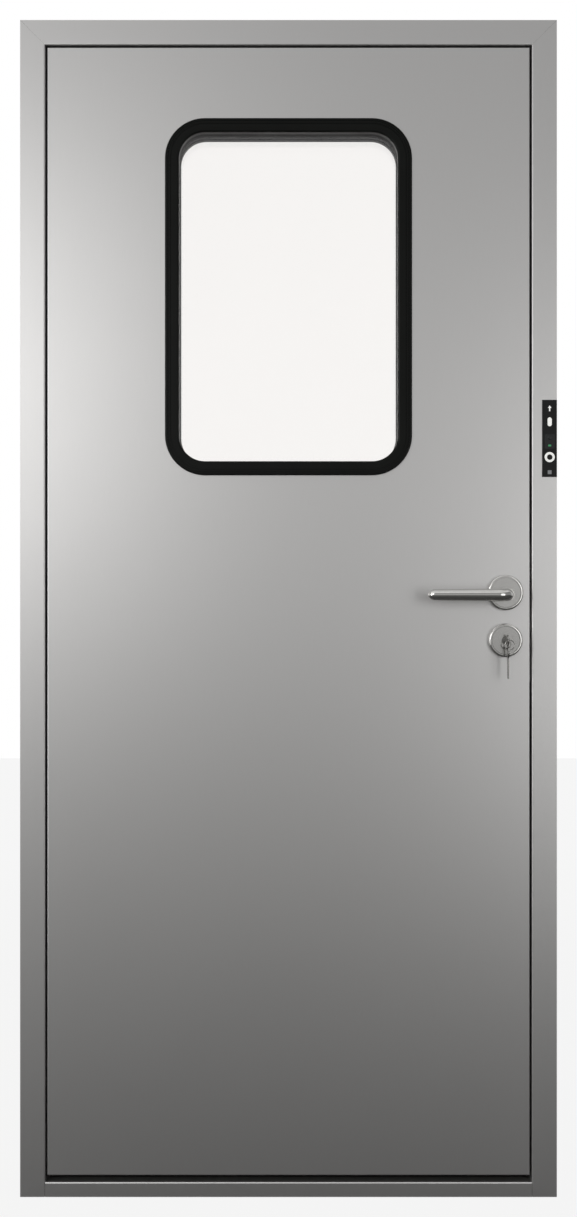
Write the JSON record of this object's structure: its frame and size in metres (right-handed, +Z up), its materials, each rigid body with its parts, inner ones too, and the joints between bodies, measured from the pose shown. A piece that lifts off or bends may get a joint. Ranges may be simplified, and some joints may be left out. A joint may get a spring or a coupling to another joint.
{
  "type": "watertight door",
  "caption": "Glazed sealed metal door in its frame: insulated gasketed leaf on hinges, lever latch, keyed dead bolt and a black control strip on the lock jamb.",
  "frame": {"origin": "centre of the underside of the sill, half way through the frame's depth", "axes": "+X from the hinges towards the lock, +Y from the lever's front side to the side with the hinges, +Z up"},
  "size_m": [0.912, 0.1685, 2],
  "materials": {
    "stainless": "satin",
    "polished_stainless": "polished",
    "galvanised_steel": "satin",
    "zinc_plated_steel": "satin",
    "spring_steel": "satin",
    "nickel_brass": "polished",
    "bronze": "satin",
    "epdm": "matte",
    "clear_glass": "gloss",
    "spacer_composite": "satin",
    "mineral_wool": "matte",
    "nylon": "matte",
    "black_plastic": "satin",
    "display_plastic": "gloss",
    "white_plastic": "gloss"
  },
  "bodies": {
    "frame": {"hinge_jamb": "stainless", "lock_jamb": "stainless", "frame_head": "stainless", "sill": "stainless", "corner_cleats": "galvanised_steel", "strike_plate": "galvanised_steel", "strike_box": "galvanised_steel", "strike_screws": "stainless", "hinge_frame_wings": "stainless", "hinge_pins": "stainless", "hinge_washers": "bronze", "hinge_frame_screws": "stainless", "control_box": "black_plastic", "control_fascia": "black_plastic", "button_ring": "white_plastic", "status_lamp": "white_plastic", "display_window": "display_plastic", "sensor_lens": "display_plastic"},
    "leaf": {"front_skin": "stainless", "rear_skin": "stainless", "leaf_core": "mineral_wool", "hinge_stile": "galvanised_steel", "lock_stile": "galvanised_steel", "top_rail": "galvanised_steel", "bottom_rail": "galvanised_steel", "leaf_seal": "epdm", "bottom_seal": "epdm", "window_liner": "stainless", "front_glazing_gasket": "epdm", "rear_glazing_gasket": "epdm", "front_glass": "clear_glass", "rear_glass": "clear_glass", "glass_spacer": "spacer_composite", "hinge_leaf_wings": "stainless", "hinge_leaf_screws": "stainless", "lock_case": "zinc_plated_steel", "lock_cover": "zinc_plated_steel", "lock_forend": "stainless", "lock_screws": "stainless", "cylinder_body": "nickel_brass", "lever_roses": "polished_stainless", "rose_bases": "nylon", "return_springs": "spring_steel", "rose_bolts": "zinc_plated_steel", "key_roses": "polished_stainless"},
    "lever": {"front_lever": "polished_stainless", "rear_lever": "polished_stainless", "spindle": "zinc_plated_steel", "follower": "zinc_plated_steel"},
    "latch": {"latch_bolt": "zinc_plated_steel"},
    "deadbolt": {"dead_bolt": "zinc_plated_steel"},
    "cylinder": {"cylinder_plug": "nickel_brass", "cylinder_cam": "nickel_brass", "key": "nickel_brass", "thumb_turn": "polished_stainless"},
    "key_hang": {"key_ring": "nickel_brass", "spare_key": "nickel_brass"},
    "button": {"control_button": "black_plastic"},
    "keeper": {"strike_keeper": "zinc_plated_steel"}
  },
  "joints": [
    {"name": "leaf_swing", "type": "hinge", "parent": "frame", "child": "leaf", "pos_m": [-0.42765, 0.0355, 1], "axis": [0, 0, 1], "range_deg": [0, 175]},
    {"name": "lever_turn", "type": "hinge", "parent": "leaf", "child": "lever", "pos_m": [0.3684, -0.0085, 1.027], "axis": [0, -1, 0], "range_deg": [0, 40], "stiffness_Nm_per_rad": 1.2, "springref_deg": -45.84},
    {"name": "latch_slide", "type": "slide", "parent": "leaf", "child": "latch", "axis": [1, 0, 0], "range_m": [-0.012, 0]},
    {"name": "key_turn", "type": "hinge", "parent": "leaf", "child": "cylinder", "pos_m": [0.3684, -0.0085, 0.946], "axis": [0, 1, 0], "range_deg": [0, 360]},
    {"name": "deadbolt_slide", "type": "slide", "parent": "leaf", "child": "deadbolt", "axis": [1, 0, 0], "range_m": [0, 0.02]},
    {"name": "ring_swing", "type": "hinge", "parent": "cylinder", "child": "key_hang", "pos_m": [0.3684, -0.0568, 0.946], "axis": [-1, 0, 0], "range_deg": [-6, 90]},
    {"name": "button_press", "type": "slide", "parent": "frame", "child": "button", "axis": [0, 1, 0], "range_m": [0, 0.0015], "stiffness_N_per_m": 600, "springref_m": -0.001},
    {"name": "keeper_slide", "type": "slide", "parent": "frame", "child": "keeper", "axis": [-1, 0, 0], "range_m": [0, 0.0085]}
  ],
  "couplings": [
    {"joint": "latch_slide", "follows": "lever_turn", "m_per_rad": -0.01718},
    {"joint": "deadbolt_slide", "follows": "key_turn", "m_per_rad": 0.003183}
  ]
}
